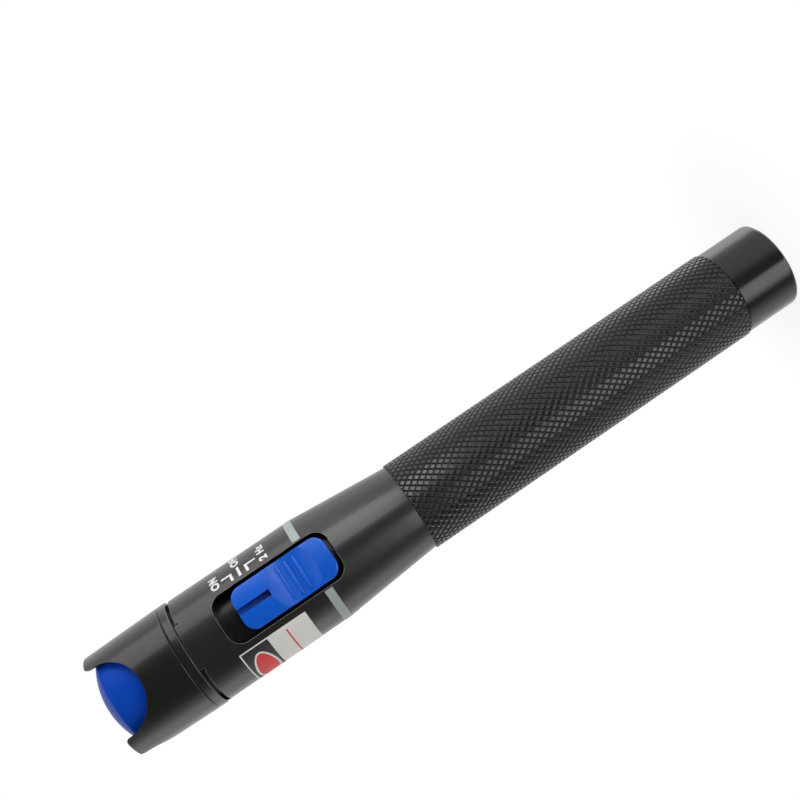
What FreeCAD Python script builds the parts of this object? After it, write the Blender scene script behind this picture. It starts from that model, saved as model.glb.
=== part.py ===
import FreeCAD, Part
import math
import operator
import os
import Sketcher
from types import SimpleNamespace

# A pen-shaped visual fault locator, in millimetres, standing on its tail cap.
# +Z runs up the pen's axis from the tail to the head, Z = 0 is the tail face,
# and the mode switch faces -Y.

V = FreeCAD.Vector

os.makedirs("parts", exist_ok=True)
doc = FreeCAD.newDocument("visual_fault_locator")
sheet = doc.addObject("Spreadsheet::Sheet", "sizes")


# ---------------------------------------------------------------- sizes

SIZES = {
    # lengths along the pen, from the tail up
    "tail_cap_length": 16.0,
    "cone_length": 28.0,
    "switch_length": 38.0,
    "collar_length": 2.4,
    "crown_length": 22.1,
    # outer radii
    "tail_cap_radius": 12.45,
    "barrel_radius": 12.75,
    "cone_end_radius": 12.3,
    "body_radius": 14.75,
    "collar_proud": 0.25,
    "crown_taper": 0.5,
    # clearances and edge breaks
    "seat_gap": 0.1,
    "running_gap": 0.3,
    "edge_break": 0.3,
    "tail_round": 1.0,
    # walls
    "barrel_wall": 2.15,
    "body_wall": 3.15,
    "crown_wall": 1.45,
    "spigot_wall": 1.9,
    # tail cap
    "spigot_length": 9.0,
    "tail_floor": 7.0,
    "recess_radius": 7.0,
    "recess_depth": 5.5,
    "lanyard_bar_width": 3.0,
    "lanyard_bar_height": 1.6,
    "lanyard_bar_inset": 0.5,
    # seals
    "seal_thickness": 1.6,
    "seal_squeeze": 0.1,
    "seal_groove_width": 1.8,
    "seal_inset": 1.6,
    # cells and their contacts
    "cell_radius": 7.25,
    "cell_length": 50.5,
    "nub_radius": 2.75,
    "nub_height": 1.0,
    "cell_gap": 0.35,
    "barrel_spare": 1.0,
    "contact_thickness": 0.8,
    "spring_wire": 1.0,
    "spring_turns": 4.0,
    "spring_top_radius": 3.5,
    # body inside
    "boss_length": 12.0,
    "carrier_seat": 3.8,
    "carrier_thickness": 3.0,
    "carrier_radius": 9.9,
    "carrier_well_height": 16.0,
    "rivet_radius": 1.5,
    "board_thickness": 1.6,
    "board_width": 16.8,
    "board_length": 41.2,
    "case_gap": 0.9,
    # switch window and track
    "window_length": 33.6,
    "window_width": 13.8,
    "window_corner": 3.7,
    "window_drop": 5.7,
    "track_wall": 1.3,
    "track_lap": 1.6,
    "track_overrun": 2.8,
    # slide button
    "button_length": 27.3,
    "button_width": 11.8,
    "button_corner": 3.3,
    "button_drop": 0.3,
    "button_curve": 20.0,
    "button_round": 0.6,
    "button_rest_gap": 1.2,
    "button_travel": 4.8,
    "dish_radius": 14.7,
    "dish_depth": 1.6,
    "dish_height": 11.1,
    "rib_radius": 0.45,
    "rib_pitch": 2.4,
    "rib_length": 9.7,
    "rib_sink": 0.15,
    "slot_length": 9.5,
    "slot_width": 1.75,
    "slot_depth": 1.5,
    "stem_width": 5.0,
    "stem_length": 8.0,
    # slide switch on the board
    "case_width": 6.6,
    "case_length": 13.0,
    "case_height": 4.3,
    "lever_width": 2.0,
    "lever_length": 3.0,
    "lever_bite": 2.0,
    "lever_reach": 2.4,
    # front edge notches of the body
    "notch_angle": 70.0,
    "notch_width": 1.0,
    "notch_depth": 2.2,
    "notch_end_width": 1.4,
    "notch_end_angle": 3.4,
    # nose plug and laser module
    "nose_stand": 3.6,
    "nose_front_wall": 4.0,
    "laser_radius": 5.95,
    "laser_length": 18.5,
    "laser_bore_radius": 2.0,
    "diode_radius": 2.8,
    "diode_flange": 1.2,
    "diode_inset": 0.5,
    "diode_can_radius": 1.95,
    "diode_can_height": 2.3,
    "lead_radius": 0.23,
    "lead_circle": 1.27,
    "lead_length": 6.0,
    "lens_radius": 3.0,
    "lens_thickness": 2.4,
    "lens_inset": 3.0,
    "lens_curve": 5.0,
    # port for the 2.5 mm ferrule
    "ferrule_radius": 1.25,
    "sleeve_wall": 0.35,
    "sleeve_length": 11.0,
    "sleeve_split": 0.3,
    "lip_thickness": 0.7,
    "lip_gap": 0.05,
    "beam_radius": 1.45,
    "shank_radius": 3.5,
    "shank_length": 3.4,
    "flange_across_flats": 11.0,
    "flange_thickness": 1.6,
    "nozzle_radius": 4.4,
    "nozzle_length": 9.0,
    # crown scallops
    "scallop_count": 3.0,
    "scallop_width": 19.5,
    "scallop_depth": 11.5,
    "prong_corner": 1.4,
    # dust cap
    "cap_wall": 1.5,
    "cap_rim_drop": 2.65,
    "dome_radius": 22.0,
    "dome_wall": 2.0,
    "cap_edge": 0.35,
    "socket_wall": 1.4,
    "socket_headroom": 1.4,
}

for row, (name, number) in enumerate(SIZES.items(), 1):
    sheet.set(f"A{row}", name)
    sheet.set(f"B{row}", str(number))
    sheet.setAlias(f"B{row}", name)
doc.recompute()


class Size:
    """A number together with the expression that FreeCAD works it out from."""

    def __init__(self, text, number):
        self.text = text
        self.number = number

    def __add__(self, other):
        return combined(self, "+", other)

    def __sub__(self, other):
        return combined(self, "-", other)

    def __rsub__(self, other):
        return combined(other, "-", self)

    def __mul__(self, other):
        return combined(self, "*", other)

    def __truediv__(self, other):
        return combined(self, "/", other)

    def __neg__(self):
        return combined(0, "-", self)


ARITHMETIC = {"+": operator.add, "-": operator.sub, "*": operator.mul, "/": operator.truediv}


def as_size(value):
    return value if isinstance(value, Size) else Size(str(float(value)), float(value))


def combined(left, sign, right):
    left = as_size(left)
    right = as_size(right)
    return Size(f"({left.text} {sign} {right.text})", ARITHMETIC[sign](left.number, right.number))


def root(value):
    return Size(f"sqrt({value.text})", math.sqrt(value.number))


def chord_height(radius, half_chord):
    """Distance from a circle's centre to its chord."""
    return root(radius * radius - half_chord * half_chord)


s = SimpleNamespace(**{name: Size(f"sizes.{name}", float(getattr(sheet, name))) for name in SIZES})


# ---------------------------------------------------------------- drawing helpers

class Arc:
    """Bends one side of an outline about a centre with the given x or y."""

    def __init__(self, x=None, y=None, clockwise=False):
        self.x = x
        self.y = y
        self.clockwise = clockwise

    def centre(self, first, last):
        """The point as far from both ends that has the given x or y."""
        squares = (last.x**2 + last.y**2 - first.x**2 - first.y**2) / 2
        if self.x is not None:
            x = as_size(self.x).number
            return V(x, (squares - x * (last.x - first.x)) / (last.y - first.y), 0)
        y = as_size(self.y).number
        return V((squares - y * (last.y - first.y)) / (last.x - first.x), y, 0)


def tie(sketch, geometry, point, x=None, y=None):
    """Holds a point of a sketch at x and y, bound to the sizes they come from."""
    for kind, axis_line, value in (("DistanceX", -2, x), ("DistanceY", -1, y)):
        if value is None:
            continue
        value = as_size(value)
        if value.number == 0:
            sketch.addConstraint(Sketcher.Constraint("PointOnObject", geometry, point, axis_line))
            continue
        if value.number > 0:
            constraint = Sketcher.Constraint(kind, -1, 1, geometry, point, value.number)
        else:
            value = -value
            constraint = Sketcher.Constraint(kind, geometry, point, -1, 1, value.number)
        index = sketch.addConstraint(constraint)
        sketch.setExpression(f"Constraints[{index}]", value.text)


def outline(sketch, items):
    """Draws a closed outline: corners as (x, y), with an Arc between two of them."""
    corners = [item for item in items if not isinstance(item, Arc)]
    bends = {}
    passed = 0
    for item in items:
        if isinstance(item, Arc):
            bends[passed - 1] = item
        else:
            passed += 1
    places = [V(as_size(x).number, as_size(y).number, 0) for x, y in corners]
    sides = []
    for index, first in enumerate(places):
        last = places[(index + 1) % len(places)]
        bend = bends.get(index)
        if bend is None:
            sides.append((sketch.addGeometry(Part.LineSegment(first, last), False), 1, 2))
            continue
        centre = bend.centre(first, last)
        circle = Part.Circle(centre, V(0, 0, 1), first.distanceToPoint(centre))
        angles = [math.atan2(end.y - centre.y, end.x - centre.x) for end in (first, last)]
        if bend.clockwise:
            angles.reverse()
        geometry = sketch.addGeometry(Part.ArcOfCircle(circle, *angles), False)
        sides.append((geometry, 2, 1) if bend.clockwise else (geometry, 1, 2))
    for index, (geometry, start, end) in enumerate(sides):
        following, following_start, _ = sides[(index + 1) % len(sides)]
        sketch.addConstraint(
            Sketcher.Constraint("Coincident", geometry, end, following, following_start)
        )
    for (geometry, start, end), (x, y) in zip(sides, corners):
        tie(sketch, geometry, start, x, y)
    for index, bend in bends.items():
        tie(sketch, sides[index][0], 3, bend.x, bend.y)


def circle(sketch, x, y, radius):
    radius = as_size(radius)
    place = V(as_size(x).number, as_size(y).number, 0)
    geometry = sketch.addGeometry(Part.Circle(place, V(0, 0, 1), radius.number), False)
    tie(sketch, geometry, 3, x, y)
    index = sketch.addConstraint(Sketcher.Constraint("Radius", geometry, radius.number))
    sketch.setExpression(f"Constraints[{index}]", radius.text)


def rectangle(left, right, low, high):
    return [(left, low), (right, low), (right, high), (left, high)]


def rounded_rectangle(half_width, low, high, corner):
    inner = half_width - corner
    return [
        (-inner, low),
        (inner, low),
        Arc(x=inner),
        (half_width, low + corner),
        (half_width, high - corner),
        Arc(x=inner),
        (inner, high),
        (-inner, high),
        Arc(x=-inner),
        (-half_width, high - corner),
        (-half_width, low + corner),
        Arc(x=-inner),
    ]


def bind(target, **sizes):
    """Binds properties to sizes; a double underscore stands for a dot."""
    for name, value in sizes.items():
        target.setExpression(name.replace("__", "."), as_size(value).text)


# ---------------------------------------------------------------- features

def new_body(label):
    body = doc.addObject("PartDesign::Body", label)
    body.Label = label
    return body


def origin_feature(body, role):
    return next(feature for feature in body.Origin.OriginFeatures if feature.Role == role)


def new_sketch(body, plane, offset=None, turn=None):
    """A sketch on an origin plane, moved along its normal or turned about its upright."""
    sketch = body.newObject("Sketcher::SketchObject", f"{body.Name}_sketch")
    sketch.AttachmentSupport = [(origin_feature(body, f"{plane}_Plane"), "")]
    sketch.MapMode = "FlatFace"
    if offset is not None:
        bind(sketch, AttachmentOffset__Base__z=offset)
    if turn is not None:
        sketch.AttachmentOffset = FreeCAD.Placement(V(), FreeCAD.Rotation(V(0, 1, 0), 1))
        bind(sketch, AttachmentOffset__Rotation__Angle=turn)
    return sketch


def feature(body, kind, sketch, adds, **settings):
    """Adds a feature, and checks that it really adds or removes material."""
    result = body.newObject(f"PartDesign::{kind}", f"{body.Name}_{kind.lower()}")
    result.Profile = sketch
    sketch.Visibility = False
    for name, value in settings.items():
        if isinstance(value, Size):
            bind(result, **{name: value})
        else:
            setattr(result, name, value)
    doc.recompute()
    base = result.BaseFeature
    if base is not None:
        change = result.Shape.Volume - base.Shape.Volume
        if (change > 0) != adds:
            raise ValueError(f"{result.Name} changes the volume by {change:.3f}")
    return result


def turning(body, items, cut=False, **settings):
    """Revolves an outline of radii and heights about the pen's axis."""
    sketch = new_sketch(body, "XZ")
    outline(sketch, items)
    kind = "Groove" if cut else "Revolution"
    settings.setdefault("Angle", 360)
    return feature(body, kind, sketch, not cut, ReferenceAxis=(sketch, ["V_Axis"]), **settings)


def turned(label, items):
    body = new_body(label)
    turning(body, items)
    return body


def pad(body, plane, items, length, offset=None, **settings):
    sketch = new_sketch(body, plane, offset)
    outline(sketch, items)
    return feature(body, "Pad", sketch, True, Length=length, **settings)


def pocket(body, plane, items, length, offset=None, **settings):
    sketch = new_sketch(body, plane, offset)
    outline(sketch, items)
    return feature(body, "Pocket", sketch, False, Length=length, **settings)


def round_the_axis(body, originals, count):
    """Repeats features evenly about the pen's axis."""
    pattern = body.newObject("PartDesign::PolarPattern", f"{body.Name}_pattern")
    pattern.Originals = originals
    pattern.Axis = (origin_feature(body, "Z_Axis"), [""])
    pattern.Angle = 360
    bind(pattern, Occurrences=count)
    body.Tip = pattern
    doc.recompute()
    return pattern


def fillet(body, wanted, radius):
    """Rounds the edges of the body's tip for which wanted(edge) holds."""
    base = body.Tip
    names = [f"Edge{i}" for i, edge in enumerate(base.Shape.Edges, 1) if wanted(edge)]
    if not names:
        raise ValueError(f"{body.Name} has no edge to round")
    result = body.newObject("PartDesign::Fillet", f"{body.Name}_fillet")
    result.Base = (base, names)
    bind(result, Radius=radius)
    doc.recompute()
    return result


def box(label, left, right, front, back, low, high):
    """A plain block between two x, two y and two z values."""
    result = doc.addObject("Part::Box", label)
    result.Label = label
    bind(result, Length=right - left, Width=back - front, Height=high - low)
    bind(result, Placement__Base__x=left, Placement__Base__y=front, Placement__Base__z=low)
    return result


def ring(label, radius, thickness, height):
    """An O-ring of the given mean radius about the pen's axis, its section eight-sided."""
    half = thickness / 2
    corner = half * math.tan(math.radians(22.5))
    return turned(label, [
        (radius + across, height + up)
        for across, up in (
            (-half, -corner),
            (-corner, -half),
            (corner, -half),
            (half, -corner),
            (half, corner),
            (corner, half),
            (-corner, half),
            (-half, corner),
        )
    ])


# ---------------------------------------------------------------- stations along the pen

barrel_base = s.tail_cap_length
barrel_top = barrel_base + s.cell_length * 2 + s.barrel_spare
cone_top = barrel_top + s.cone_length
body_top = cone_top + s.switch_length
crown_base = body_top + s.collar_length
crown_top = crown_base + s.crown_length

barrel_bore = s.barrel_radius - s.barrel_wall
spigot_radius = barrel_bore - s.seat_gap
body_bore = s.body_radius - s.body_wall
plug_radius = body_bore - s.seat_gap
collar_radius = s.body_radius + s.collar_proud
crown_tip_radius = collar_radius - s.crown_taper
cell_bore = s.cell_radius + s.cell_gap
seal_radius = barrel_bore - s.seal_squeeze - s.seal_thickness / 2
seal_groove_radius = seal_radius - s.seal_thickness / 2 - s.seal_squeeze

carrier_base = barrel_top + s.carrier_seat
carrier_top = carrier_base + s.carrier_thickness
cells_top = carrier_base - s.contact_thickness
cells_middle = cells_top - s.cell_length
cells_base = cells_middle - s.cell_length


# ---------------------------------------------------------------- tail

def tail_cap():
    """Screw cap: flat foot, recessed end with a lanyard bar, and a spigot with a seal groove."""
    r = s.tail_cap_radius
    spigot_top = barrel_base + s.spigot_length
    groove_low = barrel_base + s.seal_inset
    groove_high = groove_low + s.seal_groove_width
    bore = spigot_radius - s.spigot_wall
    body = turned("tail_cap", [
        (s.recess_radius, 0),
        (r - s.tail_round, 0),
        (r - s.tail_round * 0.5, s.tail_round * 0.13),
        (r - s.tail_round * 0.13, s.tail_round * 0.5),
        (r, s.tail_round),
        (r, barrel_base - s.edge_break),
        (r - s.edge_break, barrel_base),
        (spigot_radius, barrel_base),
        (spigot_radius, groove_low),
        (seal_groove_radius, groove_low),
        (seal_groove_radius, groove_high),
        (spigot_radius, groove_high),
        (spigot_radius, spigot_top - s.edge_break),
        (spigot_radius - s.edge_break, spigot_top),
        (bore, spigot_top),
        (bore, s.tail_floor),
        (0, s.tail_floor),
        (0, s.recess_depth),
        (s.recess_radius, s.recess_depth),
    ])
    half = s.lanyard_bar_width / 2
    reach = s.recess_radius + s.edge_break
    bar = rectangle(-reach, reach, -half, half)
    pad(body, "XY", bar, s.lanyard_bar_height, offset=s.lanyard_bar_inset)
    return body


def tail_seal():
    height = barrel_base + s.seal_inset + s.seal_groove_width / 2
    return ring("tail_o_ring", seal_radius, s.seal_thickness, height)


def tail_contact():
    radius = spigot_radius - s.spigot_wall - s.running_gap
    top = s.tail_floor + s.contact_thickness
    return turned("tail_contact", [
        (0, s.tail_floor),
        (radius, s.tail_floor),
        (radius, top),
        (0, top),
    ])


def tail_spring():
    """Conical spring from the tail contact up to the rear cell, its wire six-sided."""
    wire = s.spring_wire / 2
    seat = s.tail_floor + s.contact_thickness + wire
    rise = cells_base - wire - seat
    bottom_radius = spigot_radius - s.spigot_wall - s.running_gap - s.spring_wire
    body = new_body("tail_spring")
    sketch = new_sketch(body, "XZ")
    flat = wire * math.cos(math.radians(30))
    outline(sketch, [
        (bottom_radius, seat - wire),
        (bottom_radius + flat, seat - wire / 2),
        (bottom_radius + flat, seat + wire / 2),
        (bottom_radius, seat + wire),
        (bottom_radius - flat, seat + wire / 2),
        (bottom_radius - flat, seat - wire / 2),
    ])
    feature(
        body, "AdditiveHelix", sketch, True,
        ReferenceAxis=(sketch, ["V_Axis"]), Mode="height-turns-growth",
        Height=rise, Turns=s.spring_turns, Growth=(s.spring_top_radius - bottom_radius) / s.spring_turns,
    )
    return body


# ---------------------------------------------------------------- battery section

def knurled_barrel():
    """Battery tube: open at both ends, screwed on the tail cap and on the body's boss."""
    return turned("knurled_barrel", [
        (barrel_bore, barrel_base),
        (s.barrel_radius - s.edge_break, barrel_base),
        (s.barrel_radius, barrel_base + s.edge_break),
        (s.barrel_radius, barrel_top - s.edge_break),
        (s.barrel_radius - s.edge_break, barrel_top),
        (barrel_bore, barrel_top),
    ])


def battery_liner():
    """Insulating tube that centres the cells between the spigot and the boss."""
    low = barrel_base + s.spigot_length + s.running_gap
    high = barrel_top - s.boss_length - s.running_gap
    outer = barrel_bore - s.seat_gap
    return turned("battery_liner", rectangle(cell_bore, outer, low, high))


def cell(label, base):
    """Penlight cell with its positive nub up."""
    shoulder = base + s.cell_length - s.nub_height
    return turned(label, [
        (0, base),
        (s.cell_radius - s.edge_break, base),
        (s.cell_radius, base + s.edge_break),
        (s.cell_radius, shoulder - s.edge_break),
        (s.cell_radius - s.edge_break, shoulder),
        (s.nub_radius, shoulder),
        (s.nub_radius, shoulder + s.nub_height),
        (0, shoulder + s.nub_height),
    ])


# ---------------------------------------------------------------- main body

def main_body():
    """Turned housing: threaded boss, cone, switch section with its window and front notches."""
    boss_base = barrel_top - s.boss_length
    boss_radius = barrel_bore - s.seat_gap
    groove_high = barrel_top - s.seal_inset
    groove_low = groove_high - s.seal_groove_width
    well_top = barrel_top + s.carrier_well_height
    well_radius = s.carrier_radius + s.seat_gap
    body = turned("main_body", [
        (cell_bore, boss_base),
        (boss_radius - s.edge_break, boss_base),
        (boss_radius, boss_base + s.edge_break),
        (boss_radius, groove_low),
        (seal_groove_radius, groove_low),
        (seal_groove_radius, groove_high),
        (boss_radius, groove_high),
        (boss_radius, barrel_top),
        (s.cone_end_radius, barrel_top),
        (s.body_radius, cone_top),
        (s.body_radius, body_top - s.edge_break),
        (s.body_radius - s.edge_break, body_top),
        (body_bore, body_top),
        (body_bore, well_top),
        (well_radius, well_top),
        (well_radius, carrier_base),
        (cell_bore, carrier_base),
    ])
    window = rounded_rectangle(s.window_width / 2, window_low, window_high, s.window_corner)
    pocket(body, "XZ", window, s.body_radius + s.running_gap, Reversed=True)

    notches = [notch(body, s.notch_angle, s.notch_width)]
    end_turn = (s.notch_angle - s.notch_end_angle) / 2
    for turn in (end_turn, -end_turn):
        notches.append(notch(body, s.notch_end_angle, s.notch_end_width, turn))
    round_the_axis(body, notches, s.scallop_count)
    return body


def notch(body, angle, width, turn=None):
    """Cuts an arc out of the body's front edge, centred on the side away from the switch."""
    sketch = new_sketch(body, "YZ", turn=turn)
    outer = s.body_radius + s.running_gap
    inner = s.body_radius - s.notch_depth
    outline(sketch, rectangle(inner, outer, body_top - width, body_top + s.running_gap))
    return feature(
        body, "Groove", sketch, False,
        ReferenceAxis=(sketch, ["V_Axis"]), Angle=angle, Midplane=True,
    )


window_low = cone_top - s.window_drop
window_high = window_low + s.window_length


def body_seal():
    height = barrel_top - s.seal_inset - s.seal_groove_width / 2
    return ring("body_o_ring", seal_radius, s.seal_thickness, height)


def contact_carrier():
    """Insulating disc that holds the positive contact and the foot of the board."""
    hole = s.rivet_radius + s.seat_gap
    return turned("contact_carrier", rectangle(hole, s.carrier_radius, carrier_base, carrier_top))


def positive_contact():
    """Rivet that the front cell's nub presses on."""
    return turned("positive_contact", [
        (0, cells_top),
        (s.nub_radius, cells_top),
        (s.nub_radius, carrier_base),
        (s.rivet_radius, carrier_base),
        (s.rivet_radius, carrier_top + s.seat_gap),
        (0, carrier_top + s.seat_gap),
    ])


# ---------------------------------------------------------------- switch

track_radius = body_bore - s.seat_gap
case_front = s.track_wall + s.case_gap - track_radius
board_front = case_front + s.case_height
button_low = window_low + s.button_rest_gap
button_high = button_low + s.button_length
button_middle = button_low + s.button_length / 2
button_floor = track_radius + s.running_gap
button_crest = s.body_radius - s.button_drop
stem_foot = case_front - s.running_gap - s.seat_gap


def switch_track():
    """Curved plate behind the window, slotted for the button's stem."""
    half = s.window_width / 2 + s.track_lap
    inner = track_radius - s.track_wall
    low = window_low - s.track_overrun
    body = new_body("switch_track")
    section = [
        (-half, -chord_height(track_radius, half)),
        Arc(y=0),
        (half, -chord_height(track_radius, half)),
        (half, -chord_height(inner, half)),
        Arc(y=0, clockwise=True),
        (-half, -chord_height(inner, half)),
    ]
    pad(body, "XY", section, s.window_length + s.track_overrun * 2, offset=low)
    half_slot = s.stem_width / 2 + s.running_gap
    slot_low = button_middle - s.stem_length / 2 - s.running_gap
    slot_high = slot_low + s.stem_length + s.button_travel + s.running_gap * 2
    slot = rectangle(-half_slot, half_slot, slot_low, slot_high)
    pocket(body, "XZ", slot, track_radius + s.running_gap, Reversed=True)
    return body


def slide_button():
    """Curved thumb button: finger dish, three ribs, pointer slot, and a stem with a fork."""
    body = new_body("slide_button")
    half = s.button_width / 2
    plan = rounded_rectangle(half, button_low, button_high, s.button_corner)
    root_depth = chord_height(button_floor, half) - s.seat_gap
    pad(body, "XZ", plan, s.body_radius - root_depth + s.running_gap, offset=root_depth)

    # The crest is a shallow curve across the button.
    far = s.body_radius * 2
    curve_centre = s.button_curve - button_crest
    side_height = chord_height(s.button_curve, half + s.running_gap) - curve_centre
    above = half + s.running_gap
    crest = [
        (-above, -far),
        (above, -far),
        (above, -side_height),
        Arc(y=curve_centre, clockwise=True),
        (-above, -side_height),
    ]
    pocket(body, "XY", crest, button_low - s.running_gap + s.button_length * 2, Reversed=True)

    def on_crest(edge):
        return all(
            abs(math.hypot(v.X, v.Y - curve_centre.number) - s.button_curve.number) < 1e-3
            for v in edge.Vertexes
        )

    fillet(body, on_crest, s.button_round)

    # The underside follows the track.
    sketch = new_sketch(body, "XY")
    circle(sketch, 0, 0, button_floor)
    feature(body, "Pocket", sketch, False, Length=button_high + s.running_gap, Reversed=True)

    # Finger dish: a shallow cylinder across the button.
    dish_level = button_low + s.dish_height
    dish_centre = -(button_crest - s.dish_depth) - s.dish_radius
    sketch = new_sketch(body, "YZ")
    circle(sketch, dish_centre, dish_level, s.dish_radius)
    feature(body, "Pocket", sketch, False, Length=s.button_width * 2, SideType="Symmetric")

    # Ribs lie across the dish's floor.
    sketch = new_sketch(body, "YZ")
    rib_circle = s.dish_radius + s.rib_sink
    for step in (-1, 0, 1):
        rise = s.rib_pitch * step
        circle(sketch, dish_centre + root(rib_circle * rib_circle - rise * rise), dish_level + rise, s.rib_radius)
    feature(body, "Pad", sketch, True, Length=s.rib_length, SideType="Symmetric")

    # Pointer slot, open at the front end.
    slot = rectangle(-s.slot_width / 2, s.slot_width / 2, button_high - s.slot_length, button_high + s.slot_width)
    slot_floor = button_crest - s.slot_depth
    pocket(body, "XZ", slot, s.body_radius, offset=slot_floor, Reversed=True)

    # Stem through the track, with a fork for the switch lever.
    stem_low = button_middle - s.stem_length / 2
    stem = rectangle(-s.stem_width / 2, s.stem_width / 2, stem_low, stem_low + s.stem_length)
    pad(body, "XZ", stem, button_floor + s.seat_gap + stem_foot, offset=-stem_foot)
    half_fork = s.lever_width / 2 + s.seat_gap
    fork_reach = s.lever_length / 2 + s.seat_gap
    fork = rectangle(-half_fork, half_fork, button_middle - fork_reach, button_middle + fork_reach)
    fork_depth = s.lever_reach + s.seat_gap
    pocket(body, "XZ", fork, fork_depth + s.running_gap, offset=-stem_foot - s.running_gap, Reversed=True)
    return body


def switch_lever():
    """Lever of the slide switch, held in the button's fork."""
    half = s.lever_width / 2
    low = button_middle - s.lever_length / 2
    front = stem_foot - s.lever_reach
    back = case_front + s.lever_bite
    return box("switch_lever", -half, half, front, back, low, low + s.lever_length)


def switch_case():
    """Slide switch housing on the board, slotted for the lever's travel."""
    half = s.case_width / 2
    middle = button_middle + s.button_travel / 2
    low = middle - s.case_length / 2
    block = box("case_block", -half, half, case_front, board_front, low, low + s.case_length)
    half_slot = s.lever_width / 2 + s.running_gap
    reach = (s.lever_length + s.button_travel) / 2 + s.running_gap
    depth = s.lever_bite + s.running_gap
    front = case_front - s.running_gap
    slot = box("case_slot", -half_slot, half_slot, front, case_front + depth, middle - reach, middle + reach)
    result = doc.addObject("Part::Cut", "switch_case")
    result.Label = "switch_case"
    result.Base = block
    result.Tool = slot
    return result


def circuit_board():
    half = s.board_width / 2
    back = board_front + s.board_thickness
    return box("circuit_board", -half, half, board_front, back, carrier_top, carrier_top + s.board_length)


# ---------------------------------------------------------------- laser module and port

nose_top = crown_base + s.nose_stand
laser_top = nose_top - s.nose_front_wall
laser_base = laser_top - s.laser_length
nozzle_base = nose_top + s.flange_thickness
nozzle_top = nozzle_base + s.nozzle_length
sleeve_radius = s.ferrule_radius + s.sleeve_wall
sleeve_top = nozzle_top - s.lip_thickness
sleeve_base = sleeve_top - s.sleeve_length


def nose_plug():
    """Threaded plug that joins body, collar and crown, and carries the laser and the port."""
    low = window_high + s.track_overrun + s.running_gap
    bore = s.laser_radius + s.seat_gap
    hole = s.shank_radius + s.seat_gap
    return turned("nose_plug", [
        (bore, low),
        (plug_radius - s.edge_break, low),
        (plug_radius, low + s.edge_break),
        (plug_radius, nose_top),
        (hole, nose_top),
        (hole, laser_top),
        (bore, laser_top),
    ])


def laser_barrel():
    """Brass tube of the laser module: diode seat at the back, lens seat at the front."""
    diode_seat = laser_base + s.diode_inset + s.diode_flange
    lens_seat = laser_top - s.lens_inset - s.lens_thickness
    lens_bore = s.lens_radius + s.seat_gap
    diode_bore = s.diode_radius + s.seat_gap
    return turned("laser_barrel", [
        (diode_bore, laser_base),
        (s.laser_radius - s.edge_break, laser_base),
        (s.laser_radius, laser_base + s.edge_break),
        (s.laser_radius, laser_top - s.edge_break),
        (s.laser_radius - s.edge_break, laser_top),
        (lens_bore, laser_top),
        (lens_bore, lens_seat),
        (s.laser_bore_radius + s.running_gap, lens_seat),
        (s.laser_bore_radius + s.running_gap, diode_seat),
        (diode_bore, diode_seat),
    ])


def laser_diode():
    """Diode can: flange against the seat, cap forward and three leads to the rear."""
    flange_base = laser_base + s.diode_inset
    flange_top = flange_base + s.diode_flange
    body = turned("laser_diode", [
        (0, flange_base),
        (s.diode_radius, flange_base),
        (s.diode_radius, flange_top),
        (s.diode_can_radius, flange_top),
        (s.diode_can_radius, flange_top + s.diode_can_height),
        (0, flange_top + s.diode_can_height),
    ])
    sketch = new_sketch(body, "XY", offset=flange_base - s.lead_length)
    circle(sketch, s.lead_circle, 0, s.lead_radius)
    lead = feature(body, "Pad", sketch, True, Length=s.lead_length + s.diode_flange / 2)
    round_the_axis(body, [lead], as_size(3))
    return body


def collimating_lens():
    """Plano-convex lens, its flat side on the seat and its curved side forward."""
    base = laser_top - s.lens_inset - s.lens_thickness
    top = base + s.lens_thickness
    edge = top - s.lens_curve + chord_height(s.lens_curve, s.lens_radius)
    return turned("collimating_lens", [
        (0, base),
        (s.lens_radius, base),
        (s.lens_radius, edge),
        Arc(x=0),
        (0, top),
    ])


def port_adapter():
    """Metal port: threaded shank, hexagon flange and a nozzle that holds the ceramic sleeve."""
    shank_base = nose_top - s.shank_length
    lip_radius = s.ferrule_radius + s.lip_gap
    sleeve_bore = sleeve_radius + s.seat_gap
    body = turned("port_adapter", [
        (0, shank_base),
        (s.shank_radius, shank_base),
        (s.shank_radius, nose_top),
        (s.nozzle_radius, nose_top),
        (s.nozzle_radius, nozzle_top - s.edge_break),
        (s.nozzle_radius - s.edge_break, nozzle_top),
        (0, nozzle_top),
    ])
    flat = s.flange_across_flats / 2
    corner = flat / math.sqrt(0.75)
    hexagon = [
        (-corner / 2, -flat),
        (corner / 2, -flat),
        (corner, 0),
        (corner / 2, flat),
        (-corner / 2, flat),
        (-corner, 0),
    ]
    pad(body, "XY", hexagon, s.flange_thickness, offset=nose_top)
    turning(body, [
        (0, shank_base - s.running_gap),
        (s.beam_radius, shank_base - s.running_gap),
        (s.beam_radius, sleeve_base),
        (sleeve_bore, sleeve_base),
        (sleeve_bore, sleeve_top),
        (lip_radius, sleeve_top),
        (lip_radius, nozzle_top - s.lip_thickness / 2),
        (lip_radius + s.lip_thickness, nozzle_top + s.lip_thickness / 2),
        (0, nozzle_top + s.lip_thickness / 2),
    ], cut=True)
    return body


def ceramic_sleeve():
    """Split sleeve that grips the ferrule."""
    body = turned("ceramic_sleeve", [
        (s.ferrule_radius, sleeve_base),
        (sleeve_radius, sleeve_base),
        (sleeve_radius, sleeve_top),
        (s.ferrule_radius, sleeve_top),
    ])
    half = s.sleeve_split / 2
    split = rectangle(-half, half, sleeve_base - s.running_gap, sleeve_top + s.running_gap)
    pocket(body, "XZ", split, sleeve_radius * 2)
    return body


# ---------------------------------------------------------------- head

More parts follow.
